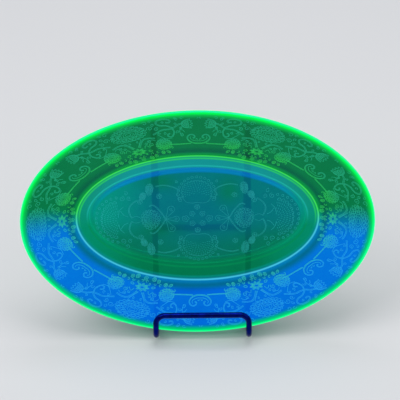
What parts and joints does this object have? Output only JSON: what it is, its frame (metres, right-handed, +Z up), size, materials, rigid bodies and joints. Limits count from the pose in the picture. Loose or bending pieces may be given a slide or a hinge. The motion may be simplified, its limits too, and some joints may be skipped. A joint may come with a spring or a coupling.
{
  "type": "uranium glass dish",
  "caption": "Oval pressed-glass dish with a sloping rim, a shallow well and an etched flower and scroll pattern, standing upright in a bent-wire plate stand with a lip in front.",
  "frame": {"origin": "on the table, half way along the dish and half way from the front to the back of the stand", "axes": "+X along the dish, +Y backward (the dish faces -Y and leans back), +Z up"},
  "size_m": [0.305, 0.1574, 0.2097],
  "materials": {
    "uranium_glass": "glossy, lit from inside by its own green fluorescence, with a frosted etched pattern",
    "black_wire": "gloss black coating"
  },
  "bodies": {
    "stand": {"front_wire": "black_wire", "rear_leg": "black_wire", "cross_brace": "black_wire"},
    "dish": {"dish": "uranium_glass"}
  },
  "joints": [
    {"name": "dish_lift", "type": "slide", "parent": "stand", "child": "dish", "axis": [0, 0, 1], "range_m": [0, 0.19]}
  ]
}
